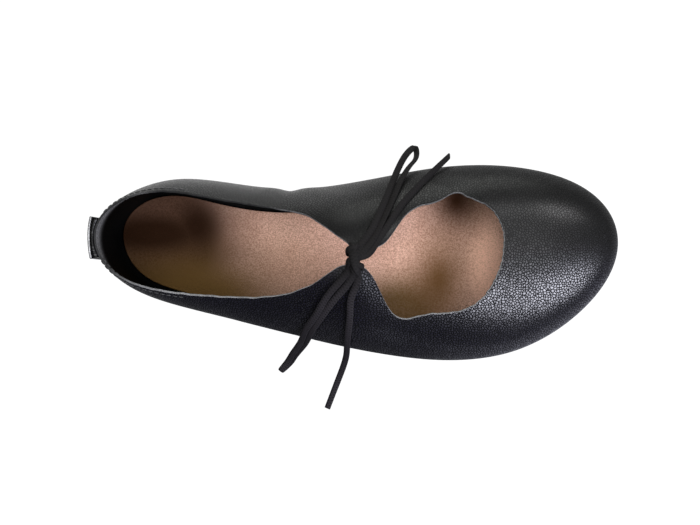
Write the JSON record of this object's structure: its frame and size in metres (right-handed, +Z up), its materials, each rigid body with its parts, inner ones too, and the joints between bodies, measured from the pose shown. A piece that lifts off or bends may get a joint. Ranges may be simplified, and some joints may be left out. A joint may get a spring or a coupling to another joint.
{
  "type": "ballet flat",
  "caption": "Soft leather ballet flat for the right foot, with an open collar, a wide front cut-out, tabs tied by a flat lace in a bow, a leather insole and a thin flexible rubber sole.",
  "frame": {"origin": "on the floor under the middle of the shoe's box, lace ends left out", "axes": "+X runs from the heel to the toe, +Y to the inner side of the foot, +Z up"},
  "size_m": [0.2579, 0.1364, 0.0671],
  "materials": {
    "leather_black": "black pebbled cowhide with a soft sheen and bare grey cut edges",
    "rubber_black": "matte black moulded rubber with a fine lattice tread",
    "leather_tan": "undyed pinkish tan leather, worn darker at the heel",
    "lace_black": "flat matte black braided lace"
  },
  "bodies": {
    "root": {"outsole": "rubber_black", "upper": "leather_black", "insole": "leather_tan", "heel_tab": "leather_black", "lace_bar": "lace_black", "lace_knot": "lace_black", "lace_loop_medial": "lace_black", "lace_loop_lateral": "lace_black", "lace_end_medial": "lace_black", "lace_end_lateral": "lace_black"}
  },
  "joints": []
}
